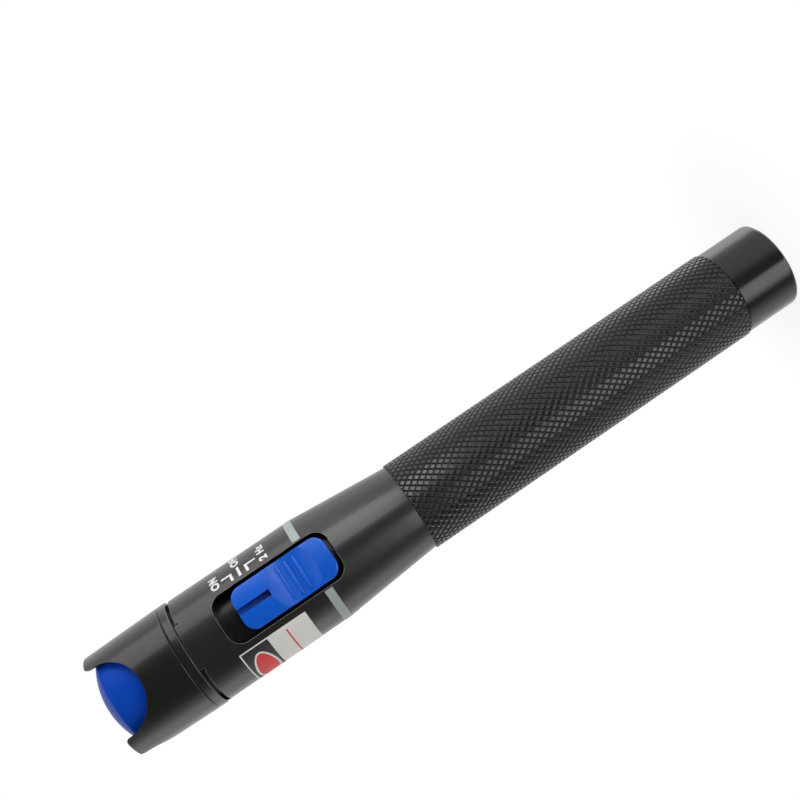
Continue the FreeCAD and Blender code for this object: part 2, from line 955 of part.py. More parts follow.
def collar_ring():
    """Locking ring between the body and the crown."""
    return turned("collar_ring", [
        (body_bore, body_top),
        (collar_radius - s.edge_break, body_top),
        (collar_radius, body_top + s.edge_break),
        (collar_radius, crown_base - s.edge_break),
        (collar_radius - s.edge_break, crown_base),
        (body_bore, crown_base),
    ])


crown_bore = crown_tip_radius - s.crown_wall


def front_crown():
    """Protective crown: a tapered tube with scallops that leave finger room at the dust cap."""
    body = turned("front_crown", [
        (body_bore, crown_base),
        (collar_radius - s.edge_break, crown_base),
        (collar_radius, crown_base + s.edge_break),
        (crown_tip_radius, crown_top - s.edge_break),
        (crown_tip_radius - s.edge_break, crown_top),
        (crown_bore, crown_top),
        (crown_bore, nose_top),
        (body_bore, nose_top),
    ])
    half = s.scallop_width / 2
    corner = s.prong_corner
    floor_centre = crown_top - s.scallop_depth + half
    outside = crown_top + s.running_gap
    scallop = [
        (-half - corner, outside),
        (-half - corner, crown_top),
        Arc(x=-half - corner, clockwise=True),
        (-half, crown_top - corner),
        (-half, floor_centre),
        Arc(y=floor_centre),
        (half, floor_centre),
        (half, crown_top - corner),
        Arc(x=half + corner, clockwise=True),
        (half + corner, crown_top),
        (half + corner, outside),
    ]
    cut = pocket(body, "XZ", scallop, collar_radius + s.running_gap, Reversed=True)
    round_the_axis(body, [cut], s.scallop_count)
    return body


def dust_cap():
    """Domed push-in cap: a skirt inside the crown and a socket over the port's nozzle."""
    outer = crown_bore - s.running_gap
    inner = outer - s.cap_wall
    skirt_base = nose_top + s.running_gap
    rim = crown_top - s.cap_rim_drop
    dome_centre = rim - chord_height(s.dome_radius, outer)
    shoulder = outer - s.cap_edge
    inner_dome = s.dome_radius - s.dome_wall
    socket_inner = s.nozzle_radius + s.running_gap
    socket_outer = socket_inner + s.socket_wall
    socket_base = nozzle_base + s.running_gap
    socket_top = nozzle_top + s.socket_headroom
    return turned("dust_cap", [
        (inner, skirt_base),
        (outer, skirt_base),
        (outer, rim - s.cap_edge),
        (shoulder, dome_centre + chord_height(s.dome_radius, shoulder)),
        Arc(x=0),
        (0, dome_centre + s.dome_radius),
        (0, socket_top),
        (socket_inner, socket_top),
        (socket_inner, socket_base),
        (socket_outer, socket_base),
        (socket_outer, dome_centre + chord_height(inner_dome, socket_outer)),
        (inner, dome_centre + chord_height(inner_dome, inner)),
    ])


# ---------------------------------------------------------------- the whole pen

NODES = [
    tail_cap(),
    tail_seal(),
    tail_contact(),
    tail_spring(),
    knurled_barrel(),
    battery_liner(),
    cell("rear_cell", cells_base),
    cell("front_cell", cells_middle),
    main_body(),
    body_seal(),
    contact_carrier(),
    positive_contact(),
    circuit_board(),
    switch_case(),
    switch_lever(),
    switch_track(),
    slide_button(),
    nose_plug(),
    laser_barrel(),
    laser_diode(),
    collimating_lens(),
    port_adapter(),
    ceramic_sleeve(),
    collar_ring(),
    front_crown(),
    dust_cap(),
]
doc.recompute()

for item in doc.Objects:
    if "Invalid" in item.State or "Error" in item.State:
        raise ValueError(f"{item.Label} failed to recompute")

for node in NODES:
    shape = node.Shape
    if shape.isNull() or not shape.isValid() or not shape.Solids:
        raise ValueError(f"{node.Label} has no valid solid")
    shape.exportStep(f"parts/{node.Label}.step")
    box_size = shape.BoundBox
    print(f"{node.Label:18} {shape.Volume:10.1f} mm3  z {box_size.ZMin:7.2f} to {box_size.ZMax:7.2f}")
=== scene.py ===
"""Looks of the pen-shaped fault locator: finishes, knurl, ribs, seals, print and studio."""

import math

import bmesh
import bpy
from mathutils import Matrix, Vector


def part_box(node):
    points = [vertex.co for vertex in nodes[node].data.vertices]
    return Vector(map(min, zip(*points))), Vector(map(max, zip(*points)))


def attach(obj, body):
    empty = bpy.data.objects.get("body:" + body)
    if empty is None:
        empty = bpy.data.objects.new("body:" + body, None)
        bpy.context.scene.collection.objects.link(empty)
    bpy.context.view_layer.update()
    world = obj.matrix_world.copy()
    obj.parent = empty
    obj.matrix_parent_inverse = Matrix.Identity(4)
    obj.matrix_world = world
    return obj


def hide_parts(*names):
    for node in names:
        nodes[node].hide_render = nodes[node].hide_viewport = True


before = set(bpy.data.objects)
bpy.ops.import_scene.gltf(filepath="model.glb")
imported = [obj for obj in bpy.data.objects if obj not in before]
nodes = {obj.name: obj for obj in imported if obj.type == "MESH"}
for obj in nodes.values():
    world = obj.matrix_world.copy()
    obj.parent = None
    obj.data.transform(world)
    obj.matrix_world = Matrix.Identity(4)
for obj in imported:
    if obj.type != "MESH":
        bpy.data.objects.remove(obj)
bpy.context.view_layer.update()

MM = 0.001
QUARTER_TURN = (0.0, math.pi / 2, 0.0)


def reach(node):
    """A turned node's outer radius, and its lowest and highest level, in mm."""
    low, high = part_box(node)
    return high.x / MM, low.z / MM, high.z / MM


# ---------------------------------------------------------------- node trees

class Wire:
    """A node's output, usable in arithmetic."""

    def __init__(self, tree, socket):
        self.tree = tree
        self.socket = socket

    def __add__(self, other):
        return self.tree.maths("ADD", self, other)

    def __sub__(self, other):
        return self.tree.maths("SUBTRACT", self, other)

    def __rsub__(self, other):
        return self.tree.maths("SUBTRACT", other, self)

    def __mul__(self, other):
        return self.tree.maths("MULTIPLY", self, other)

    def __truediv__(self, other):
        return self.tree.maths("DIVIDE", self, other)

    def __rtruediv__(self, other):
        return self.tree.maths("DIVIDE", other, self)

    __radd__ = __add__
    __rmul__ = __mul__


class Tree:
    """A node tree that grows by one node a call."""

    def __init__(self, tree):
        self.tree = tree

    def node(self, kind, settings=None, inputs=None, output=0):
        """Adds a node: its settings first, then values or wires for its sockets."""
        made = self.tree.nodes.new(kind)
        for name, value in (settings or {}).items():
            setattr(made, name, value)
        for name, value in (inputs or {}).items():
            socket = made.inputs[name]
            if isinstance(value, Wire):
                self.tree.links.new(value.socket, socket)
            else:
                socket.default_value = value
        return Wire(self, made.outputs[output]) if made.outputs else None

    def maths(self, operation, *values):
        """One step of arithmetic, such as ADD or SQRT."""
        return self.node("ShaderNodeMath", {"operation": operation}, dict(enumerate(values)))

    def vector(self, x=0.0, y=0.0, z=0.0):
        """A vector of three values."""
        return self.node("ShaderNodeCombineXYZ", None, {"X": x, "Y": y, "Z": z})

    def parts(self, vector):
        """The three values of a vector."""
        split = self.node("ShaderNodeSeparateXYZ", None, {"Vector": vector})
        return [Wire(self, socket) for socket in split.socket.node.outputs]

    def span(self, value, start, end, course="LINEAR"):
        """0 where the value is at start, 1 where it is at end."""
        settings = {"clamp": True, "interpolation_type": course}
        limits = {"Value": value, "From Min": start, "From Max": end}
        return self.node("ShaderNodeMapRange", settings, limits)

    def fade(self, value, start, end):
        """As span, but easing in and out."""
        return self.span(value, start, end, "SMOOTHSTEP")

    def ray(self, kind):
        """1 for the rays of one kind, such as Camera, 0 for all others."""
        return self.node("ShaderNodeLightPath", output=f"Is {kind} Ray")


class Finish(Tree):
    """A material on Object coordinates."""

    def __init__(self, name):
        self.material = bpy.data.materials.new(name)
        self.material.use_nodes = True
        super().__init__(self.material.node_tree)
        self.tree.nodes.clear()
        self.place = self.node("ShaderNodeTexCoord", output="Object")

    def noise(self, scale, detail=2.0, rings=None):
        """Noise from 0 to 1, its scale in cells per metre; rings squeezes it along the axis."""
        vector = self.place
        if rings:
            squeezed = {"Vector": vector, "Scale": (1.0, 1.0, rings)}
            vector = self.node("ShaderNodeMapping", None, squeezed)
        inputs = {"Vector": vector, "Scale": scale, "Detail": detail}
        return self.node("ShaderNodeTexNoise", {"noise_dimensions": "3D"}, inputs)

    def blend(self, share, first, second):
        """A colour between two, by share."""
        colours = {0: share, 6: first, 7: second}
        return self.node("ShaderNodeMix", {"data_type": "RGBA"}, colours, output=2)

    def radius(self):
        """Distance from the pen's axis, in metres."""
        x, y, _ = self.parts(self.place)
        return self.maths("SQRT", x * x + y * y)

    def cut_edges(self, width):
        """1 along the edges of the piece, 0 on its faces."""
        soft = self.node("ShaderNodeBevel", {"samples": 8}, {"Radius": width})
        hard = self.node("ShaderNodeNewGeometry", output="Normal")
        both = {0: soft, 1: hard}
        match = self.node("ShaderNodeVectorMath", {"operation": "DOT_PRODUCT"}, both, "Value")
        slight_bend, full_bend = 0.03, 0.12
        return self.span(1.0 - match, slight_bend, full_bend)

    def bumped(self, height, depth, edge=None):
        """A normal with the height's relief, over edges rounded by the given radius."""
        inputs = {"Height": height, "Distance": depth, "Strength": 1.0}
        if edge:
            inputs["Normal"] = self.node("ShaderNodeBevel", {"samples": 6}, {"Radius": edge})
        return self.node("ShaderNodeBump", None, inputs)

    def finish(self, **sockets):
        """Ends the material in a Principled shader."""
        inputs = {name.replace("_", " "): value for name, value in sockets.items()}
        shader = self.node("ShaderNodeBsdfPrincipled", None, inputs)
        self.node("ShaderNodeOutputMaterial", None, {"Surface": shader})
        return self.material


def rgb(red, green, blue):
    """An opaque colour."""
    return (red, green, blue, 1.0)


def grey(level):
    """An opaque grey."""
    return rgb(level, level, level)


# ---------------------------------------------------------------- finishes

def anodised(name, dark, light, rough, grain, skin, edge_highlight_grey):
    """Black anodised aluminium: fine blasted grain, cut edges lightened as bare metal with a
    painted highlight, and painted shade below its skin.
    """
    f = Finish(name)
    marks = f.noise(60.0, 3.0)
    fine = f.noise(9000.0, 1.0)
    outside = f.span(f.radius(), (skin - 0.35) * MM, (skin - 0.15) * MM)
    # Faces below the skin are painted near black as shade; outside cut edges get a painted
    # highlight.
    colour = f.blend(outside, grey(0.003), f.blend(marks, dark, light))
    return f.finish(
        Base_Color=f.blend(outside * f.cut_edges(0.16 * MM), colour, grey(edge_highlight_grey)),
        Roughness=rough + 0.2 - outside * 0.25 + marks * 0.1,
        Specular_IOR_Level=0.5,
        Coat_Weight=0.25,
        Coat_Roughness=0.1,
        Normal=f.bumped(fine, grain, 0.18 * MM),
    )


def polished(name):
    """Bright-turned black anodising, with fine rings of the turning tool."""
    f = Finish(name)
    tool_rings = f.noise(30.0, rings=180.0)
    marks = f.noise(90.0, 3.0)
    return f.finish(
        Base_Color=f.blend(marks, grey(0.008), grey(0.013)),
        Roughness=0.13 + marks * 0.08,
        Specular_IOR_Level=0.55,
        Normal=f.bumped(tool_rings, 0.0012 * MM, 0.2 * MM),
    )


def knurled(name):
    """Cut knurl: matt grooves darkened by painted shade, and smoother, lighter worn crests."""
    f = Finish(name)
    crest = reach("knurled_barrel")[0]
    worn_crest_vs_groove_shade = f.span(f.radius(), (crest - 0.10) * MM, (crest - 0.02) * MM)
    marks = f.noise(140.0, 3.0)
    return f.finish(
        # The grooves are painted darker as their shade; the crests are lighter and vary at
        # random.
        Base_Color=f.blend(worn_crest_vs_groove_shade * marks, grey(0.006), grey(0.016)),
        Roughness=0.5 - worn_crest_vs_groove_shade * 0.3 + marks * 0.1,
        Specular_IOR_Level=0.35,
        Coat_Weight=worn_crest_vs_groove_shade * 0.5,
        Coat_Roughness=0.15,
        Normal=f.bumped(f.noise(7000.0, 1.0), 0.003 * MM, 0.05 * MM),
    )


def plastic(name, dark, light, rough, edge=0.2, gloss=0.5):
    """Moulded plastic: a slight cloud in its colour and a fine texture; edge in mm."""
    f = Finish(name)
    cloud = f.noise(120.0)
    return f.finish(
        Base_Color=f.blend(cloud, dark, light),
        Roughness=rough - 0.04 + cloud * 0.08,
        Specular_IOR_Level=gloss,
        Normal=f.bumped(f.noise(5000.0), 0.003 * MM, edge * MM),
    )


# The button's pointer slot, in mm; its floor and mouth lie that far from the pen's axis.
SLOT_LENGTH = 9.5
SLOT_HALF_WIDTH = 0.80
SLOT_FLOOR, SLOT_MOUTH = 13.6, 14.2


def thumb_plastic(name, dark, light, slot_shade_colour, rough):
    """The button's plastic; its pointer slot gets painted shade, darkest at its closed end."""
    f = Finish(name)
    cloud = f.noise(120.0)
    x, _, z = f.parts(f.place)
    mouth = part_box("slide_button")[1].z
    closed = mouth - SLOT_LENGTH * MM
    beside = f.span(f.maths("ABSOLUTE", x), SLOT_HALF_WIDTH * MM, (SLOT_HALF_WIDTH + 0.08) * MM)
    inside = (1.0 - beside) * f.span(z, closed - 0.1 * MM, closed)
    sunk = 1.0 - f.span(f.radius(), SLOT_FLOOR * MM, SLOT_MOUTH * MM)
    # Painted shade in the slot: full at its closed end and floor, a quarter at its mouth.
    shade = inside * sunk * (1.0 - f.span(z, closed, mouth) * 0.75)
    return f.finish(
        Base_Color=f.blend(shade, f.blend(cloud, dark, light), slot_shade_colour),
        Roughness=rough - 0.04 + cloud * 0.08 + shade * 0.3,
        Specular_IOR_Level=0.4,
        Normal=f.bumped(f.noise(5000.0), 0.002 * MM, 0.15 * MM),
    )


def metal(name, dark, light, rough):
    """Turned bare metal with fine tool rings."""
    f = Finish(name)
    tool_rings = f.noise(90.0, rings=60.0)
    marks = f.noise(200.0, 3.0)
    return f.finish(
        Base_Color=f.blend(marks, dark, light),
        Metallic=1.0,
        Roughness=rough - 0.05 + marks * 0.1,
        Normal=f.bumped(tool_rings, 0.003 * MM, 0.1 * MM),
    )


def ink(name, colour, worn_crest_vs_groove_shade):
    """Printed ink, a little uneven."""
    f = Finish(name)
    grainy = f.noise(2500.0, 3.0)
    return f.finish(
        Base_Color=f.blend(grainy, colour, worn_crest_vs_groove_shade),
        Roughness=0.45 + grainy * 0.1,
        Normal=f.bumped(grainy, 0.002 * MM),
    )


def glass(name):
    """Clear optical glass, faintly smeared."""
    f = Finish(name)
    smear = f.noise(300.0)
    return f.finish(
        Base_Color=rgb(0.95, 0.97, 1.0),
        Roughness=0.02 + smear * 0.03,
        IOR=1.52,
        Transmission_Weight=1.0,
    )


def board(name):
    """Circuit board: green mask over faint tracks."""
    f = Finish(name)
    across = {"Vector": f.place, "Scale": 160.0}
    lines = f.node("ShaderNodeTexWave", {"bands_direction": "Z"}, across)
    cloud = f.noise(500.0, 3.0)
    return f.finish(
        Base_Color=f.blend(lines * cloud, rgb(0.006, 0.07, 0.022), rgb(0.02, 0.16, 0.05)),
        Roughness=0.3 + cloud * 0.15,
        Normal=f.bumped(lines, 0.02 * MM),
    )


# The grey at the cut edges is a painted highlight over bare metal.
BODY = anodised(
    "satin_black_anodising", rgb(0.011, 0.0105, 0.0095), rgb(0.016, 0.0152, 0.0138),
    rough=0.34, grain=0.005 * MM, skin=12.3, edge_highlight_grey=0.40,
)
CROWN = anodised(
    "crown_anodising", rgb(0.009, 0.009, 0.0085), rgb(0.013, 0.0125, 0.012),
    rough=0.32, grain=0.004 * MM, skin=14.3, edge_highlight_grey=0.05,
)
TAIL = polished("bright_turned_black")
KNURL = knurled("cut_knurl")
# The slot's dark navy is painted shade.
BLUE = thumb_plastic(
    "royal_blue_plastic", rgb(0.002, 0.084, 0.50), rgb(0.003, 0.097, 0.57),
    slot_shade_colour=rgb(0.0005, 0.006, 0.06), rough=0.28,
)
CAP_BLUE = plastic(
    "deep_blue_rubber", rgb(0.003, 0.047, 0.36), rgb(0.004, 0.056, 0.42), 0.38,
    edge=0.3, gloss=0.06,
)
TRACK = plastic("gloss_black_plastic", grey(0.004), grey(0.007), 0.34)
GREY = plastic("grey_plastic", grey(0.09), grey(0.12), 0.45)
JACKET = plastic("cell_sleeve", rgb(0.02, 0.05, 0.025), rgb(0.03, 0.07, 0.035), 0.3)
RUBBER = plastic("seal_rubber", grey(0.012), grey(0.02), 0.55)
CERAMIC = plastic("white_ceramic", rgb(0.75, 0.74, 0.7), rgb(0.8, 0.79, 0.76), 0.15)
BRASS = metal("turned_brass", rgb(0.62, 0.43, 0.16), rgb(0.72, 0.52, 0.22), 0.25)
NICKEL = metal("nickel_plate", rgb(0.6, 0.58, 0.54), rgb(0.7, 0.68, 0.64), 0.2)
STEEL = metal("spring_steel_wire", grey(0.5), grey(0.62), 0.28)
LENS = glass("lens_glass")
BOARD = board("green_board")
WHITE_INK = ink("white_print", rgb(0.82, 0.82, 0.8), rgb(0.68, 0.68, 0.66))
SILVER_INK = ink("silver_print", rgb(0.36, 0.42, 0.4), rgb(0.3, 0.35, 0.33))
PALE_INK = ink("pale_grey_print", rgb(0.80, 0.78, 0.74), rgb(0.72, 0.70, 0.66))
RED_INK = ink("red_print", rgb(0.72, 0.028, 0.035), rgb(0.62, 0.024, 0.03))
DARK_INK = ink("dark_print", rgb(0.016, 0.015, 0.014), rgb(0.024, 0.023, 0.021))

FINISHES = {
    "tail_cap": TAIL, "tail_contact": BRASS, "tail_spring": STEEL, "tail_o_ring": RUBBER,
    "knurled_barrel": KNURL, "battery_liner": GREY, "rear_cell": JACKET, "front_cell": JACKET,
    "main_body": BODY, "body_o_ring": RUBBER, "contact_carrier": GREY, "positive_contact": BRASS,
    "circuit_board": BOARD, "switch_case": NICKEL, "switch_lever": GREY, "switch_track": TRACK,
    "slide_button": BLUE, "nose_plug": CROWN, "laser_barrel": BRASS, "laser_diode": NICKEL,
    "collimating_lens": LENS, "port_adapter": NICKEL, "ceramic_sleeve": CERAMIC,
    "collar_ring": CROWN, "front_crown": CROWN, "dust_cap": CAP_BLUE,
}
for label, finish in FINISHES.items():
    mesh = nodes[label].data
    mesh.materials.clear()
    mesh.materials.append(finish)


# ---------------------------------------------------------------- making pieces

def piece(name, mesh, finish, body, slot, *stands_for):
    """Puts a finished mesh into the scene as a piece that rides on a body."""
    mesh.name = name
    mesh.materials.clear()
    mesh.materials.append(finish)
    made = bpy.data.objects.new(name, mesh)
    bpy.context.scene.collection.objects.link(made)
    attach(made, body)
    if stands_for:
        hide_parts(*stands_for)


def built(work, smooth_below=None):
    """A mesh from a bmesh in mm, smooth across edges below the given angle."""
    bmesh.ops.scale(work, vec=(MM, MM, MM), verts=work.verts)
    bmesh.ops.recalc_face_normals(work, faces=work.faces)
    if smooth_below is not None:
        limit = math.radians(smooth_below)
        for edge in work.edges:
            edge.smooth = edge.calc_face_angle(math.pi) < limit
        for face in work.faces:
            face.smooth = True
    mesh = bpy.data.meshes.new("work")
    work.to_mesh(mesh)
    work.free()
    return mesh


def split_at(work, place, facing, **options):
    """Cuts a bmesh by a plane."""
    every = work.verts[:] + work.edges[:] + work.faces[:]
    return bmesh.ops.bisect_plane(
        work, geom=every, dist=1e-5, plane_co=place, plane_no=facing, **options,
    )


def ring_points(count):
    """The angles of a full turn in equal steps."""
    return [math.tau * step / count for step in range(count)]


def turned(work, profile, around):
    """Adds a closed ring of revolution about the pen's axis; profile is (radius, level) in mm."""
    rings = [
        [work.verts.new((r * math.cos(a), r * math.sin(a), level)) for a in ring_points(around)]
        for r, level in profile
    ]
    for first, second in zip(rings, rings[1:] + rings[:1]):
        for step in range(around):
            following = (step + 1) % around
            work.faces.new((first[step], first[following], second[following], second[step]))


def as_mesh(thing):
    """The plain mesh of an object as its modifiers or its text make it; the object is removed."""
    bpy.context.scene.collection.objects.link(thing)
    evaluated = thing.evaluated_get(bpy.context.evaluated_depsgraph_get())
    mesh = bpy.data.meshes.new_from_object(evaluated)
    thing.modifiers.clear()
    bpy.data.objects.remove(thing)
    return mesh


def grown(name, finish, sizes, build):
    """The plain mesh of a Geometry Nodes tree whose named inputs are sizes, in mm.

    build(tree, sizes) adds the nodes and returns their geometry.
    """
    group = bpy.data.node_groups.new(name, "GeometryNodeTree")
    group.interface.new_socket("Geometry", in_out="OUTPUT", socket_type="NodeSocketGeometry")
    for label, value in sizes.items():
        kind = "NodeSocketInt" if isinstance(value, int) else "NodeSocketFloat"
        group.interface.new_socket(label, in_out="INPUT", socket_type=kind)
    tree = Tree(group)
    start = group.nodes.new("NodeGroupInput")
    shape = build(tree, {label: Wire(tree, start.outputs[label]) for label in sizes})
    plain = tree.node("GeometryNodeRealizeInstances", None, {"Geometry": shape})
    inputs = {"Geometry": plain, "Material": finish}
    dressed = tree.node("GeometryNodeSetMaterial", None, inputs)
    tree.node("NodeGroupOutput", None, {"Geometry": dressed})
    holder = bpy.data.objects.new(name, bpy.data.meshes.new(name))
    modifier = holder.modifiers.new(name, "NODES")
    modifier.node_group = group
    for item in group.interface.items_tree:
        if item.in_out == "INPUT":
            modifier[item.identifier] = sizes[item.name]
    return as_mesh(holder)


def moved(tree, shape, **changes):
    """Geometry after a Transform with the given Scale, Rotation or both."""
    return tree.node("GeometryNodeTransform", None, {"Geometry": shape, **changes})


# ---------------------------------------------------------------- knurled grip

def knurl_teeth(tree, size):
    """Four-sided teeth in staggered rings round the barrel."""
    index = tree.node("GeometryNodeInputIndex")
    ring = tree.maths("FLOOR", index / size["Teeth around"])
    place = index - ring * size["Teeth around"]
    shift = tree.maths("MODULO", ring, 2.0) * 0.5
    angle = (place + shift) * math.tau / size["Teeth around"]
    spot = tree.vector(
        tree.maths("COSINE", angle) * size["Root radius"],
        tree.maths("SINE", angle) * size["Root radius"],
        size["First level"] + ring * size["Ring step"],
    )
    count = size["Teeth around"] * size["Rings"]
    points = tree.node("GeometryNodePoints", None, {"Count": count, "Position": spot})
    tooth = tree.node("GeometryNodeMeshCone", {"fill_type": "NGON"}, {
        "Vertices": 4, "Side Segments": 1,
        "Radius Top": size["Crest share"], "Radius Bottom": 1.0, "Depth": 1.0,
    })
    half = size["Tooth half width"]
    tooth = moved(tree, tooth, Scale=tree.vector(half, half, size["Depth"]))
    tooth = moved(tree, tooth, Rotation=QUARTER_TURN)
    tooth = moved(tree, tooth, Scale=tree.vector(1.0, 1.0, size["Ring step"] / half))
    turn = tree.node("FunctionNodeEulerToRotation", None, {0: tree.vector(z=angle)})
    inputs = {"Points": points, "Instance": tooth, "Rotation": turn}
    return tree.node("GeometryNodeInstanceOnPoints", None, inputs)


def knurled_grip():
    """The barrel with its cut knurl, teeth and tube in one piece."""
    crest, low, high = reach("knurled_barrel")
    bore = 10.6
    depth = 0.21
    root = crest - depth
    around = 44
    ring_step = 2.49 / 2
    overlap = 1.02
    teeth = grown("knurl", KNURL, {
        "Teeth around": around,
        "Rings": int((high - low) / ring_step) + 2,
        "Root radius": root,
        "First level": low,
        "Ring step": ring_step,
        "Tooth half width": math.pi * root / around * overlap,
        "Depth": depth,
        "Crest share": 0.56,
    }, knurl_teeth)
    work = bmesh.new()
    work.from_mesh(teeth)
    bpy.data.meshes.remove(teeth)
    plain_end = 0.12
    for level, side in ((low + plain_end, -1), (high - plain_end, 1)):
        cut = split_at(work, (0, 0, level), (0, 0, side), clear_outer=True)
        rim = [item for item in cut["geom_cut"] if isinstance(item, bmesh.types.BMEdge)]
        bmesh.ops.holes_fill(work, edges=rim, sides=0)
    # The tube stands a little above the feet of the teeth, so that no gap shows between them.
    tube = root + 0.03
    chamfer = 0.3
    turned(work, [
        (bore, low), (root - chamfer, low), (tube, low + chamfer), (tube, high - chamfer),
        (root - chamfer, high), (bore, high),
    ], around * 4)
    piece("knurled_grip", built(work), KNURL, "pen", "knurled_black", "knurled_barrel")


knurled_grip()


# ---------------------------------------------------------------- grip ribs of the button

def rib_bars(tree, size):
    """Round-ended bars across the button, evenly spaced along the arc of its dish."""
    round_ball = {"Segments": 24, "Rings": 12, "Radius": size["Radius"]}
    ball = tree.node("GeometryNodeMeshUVSphere", None, round_ball)
    flat = tree.vector(1.0, size["Height"] / size["Radius"], 1.0)
    ball = moved(tree, ball, Rotation=QUARTER_TURN, Scale=flat)
    side = tree.maths("SIGN", tree.parts(tree.node("GeometryNodeInputPosition"))[0])
    outward = tree.vector(side * size["Half straight"])
    bar = tree.node("GeometryNodeSetPosition", None, {"Geometry": ball, "Offset": outward})
    rise = (tree.node("GeometryNodeInputIndex") - 1.0) * size["Pitch"]
    spot = tree.vector(
        y=0.0 - size["Dish bottom"] - rise * rise / (size["Dish radius"] * 2.0),
        z=size["Middle level"] + rise,
    )
    points = tree.node("GeometryNodePoints", None, {"Count": size["Bars"], "Position": spot})
    inputs = {"Points": points, "Instance": bar}
    return tree.node("GeometryNodeInstanceOnPoints", None, inputs)


def grip_ribs():
    """Three bars for the thumb, over the narrower ribs in the button's dish."""
    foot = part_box("slide_button")[0].z / MM
    radius = 0.62
    bars = grown("grip_ribs", BLUE, {
        "Bars": 3,
        "Radius": radius,
        "Height": 0.45,
        "Half straight": 4.75 - radius,
        "Pitch": 2.4,
        "Dish radius": 14.7,
        "Dish bottom": 12.87,
        "Middle level": foot + 11.1,
    }, rib_bars)
    work = bmesh.new()
    work.from_mesh(bars)
    piece("grip_ribs", built(work, 60), BLUE, "switch", "blue_plastic")


grip_ribs()


# ---------------------------------------------------------------- seals

def seal_ring(node, body):
    """A round rubber ring in place of the eight-sided one."""
    outer, low, high = reach(node)
    half = (high - low) / 2
    middle = outer - half
    work = bmesh.new()
    turned(work, [
        (middle + half * math.cos(a), low + half + half * math.sin(a)) for a in ring_points(16)
    ], 96)
    piece(f"{node}_round", built(work, 60), RUBBER, body, "seal_rubber", node)


seal_ring("tail_o_ring", "seal")
seal_ring("body_o_ring", "pen")


# ---------------------------------------------------------------- print on the body

BODY_RADIUS = reach("main_body")[0]

# A print stands one film proud of the body, reaches a root into it, and bends at each fold.
FILM = 0.03
ROOT = 0.05
FOLD = 0.8


def print_on(name, shape, finish, lift=1.0):
    """Wraps a flat shape round the body as a thin film.

    x runs along the girth toward +X and y along the pen, in mm; lift is in films.
    """
    work = bmesh.new()
    shape(work)
    across = [v.co.x for v in work.verts]
    cut = math.floor(min(across)) + 0.5
    while cut < max(across):
        split_at(work, (cut, 0, 0), (1, 0, 0))
        cut += FOLD
    raised = bmesh.ops.extrude_face_region(work, geom=work.faces[:], use_keep_orig=True)
    top = {item for item in raised["geom"] if isinstance(item, bmesh.types.BMVert)}
    for vert in work.verts:
        radius = BODY_RADIUS + (FILM * lift if vert in top else -ROOT)
        turn = vert.co.x / BODY_RADIUS
        vert.co = (radius * math.sin(turn), -radius * math.cos(turn), vert.co.y)
    piece(name, built(work), finish, "pen", "black_anodised")


def polygon(points):
    """A flat face with the given corners."""
    def shape(work):
        work.faces.new([work.verts.new((x, y, 0)) for x, y in points])
    return shape


def strip(left, right, low, high):
    """A flat rectangle."""
    return polygon(((left, low), (right, low), (right, high), (left, high)))


def oval(x, y, across, along):
    """A flat ellipse about a point, with its two half sizes."""
    return polygon([
        (x + across * math.cos(a), y + along * math.sin(a)) for a in ring_points(40)
    ])


def several(*shapes):
    """Flat shapes printed together."""
    def shape(work):
        for part in shapes:
            part(work)
    return shape


def legend(text, x, y, height):
    """Bold text in the built-in face, its left end at x and its middle at y."""
    bold = 0.15
    thin_height = height - bold * 2
    capital_share = 0.73

    def shape(work):
        curve = bpy.data.curves.new("legend", "FONT")
        curve.body = text
        curve.size = thin_height / capital_share
        curve.offset = bold
        curve.space_character = 1.12
        curve.resolution_u = 4
        mesh = as_mesh(bpy.data.objects.new("legend", curve))
        mesh.transform(Matrix.Translation((x + bold, y - thin_height / 2, 0)))
        work.from_mesh(mesh)
        bmesh.ops.remove_doubles(work, verts=work.verts, dist=1e-4)
    return shape


def girth(degrees):
    """Distance along the girth from the middle of the window; degrees run toward +X."""
    return math.radians(degrees) * BODY_RADIUS


# The stripe runs round the body and stops just short of the window on both sides.
WINDOW_HALF_WIDTH = 6.9
STRIPE = (145.9, 148.2)
stripe_end = girth(math.degrees(math.asin(WINDOW_HALF_WIDTH / BODY_RADIUS))) + 0.5
stripe = strip(stripe_end, math.tau * BODY_RADIUS - stripe_end, *STRIPE)
print_on("stripe_ring", stripe, SILVER_INK)

# A tick for each place of the button; the outer two end in feet that point to their legends.
HALF_TICK = 0.75 / 2
FOOT = 0.55
ON_LEVEL, OFF_LEVEL, BLINK_LEVEL = 165.6, 163.3, 161.1
ON_FOOT_TOP, BLINK_FOOT_BOTTOM = 168.3, 158.2
tick_inner, tick_outer, long_outer = girth(32.4), girth(42.4), girth(45.5)
print_on("mode_ticks", several(
    strip(tick_inner, tick_outer, ON_LEVEL - HALF_TICK, ON_LEVEL + HALF_TICK),
    strip(tick_outer - FOOT, tick_outer, ON_LEVEL + HALF_TICK, ON_FOOT_TOP),
    strip(tick_inner, long_outer, OFF_LEVEL - HALF_TICK, OFF_LEVEL + HALF_TICK),
    strip(tick_inner, tick_outer, BLINK_LEVEL - HALF_TICK, BLINK_LEVEL + HALF_TICK),
    strip(tick_outer - FOOT, tick_outer, BLINK_FOOT_BOTTOM, BLINK_LEVEL - HALF_TICK),
), WHITE_INK)
print_on("mode_legends", several(
    legend("ON", girth(33.2), 170.35, 2.55),
    legend("OFF", girth(48.3), 163.6, 2.5),
    legend("2 Hz", girth(32.2), 156.4, 2.45),
), WHITE_INK)

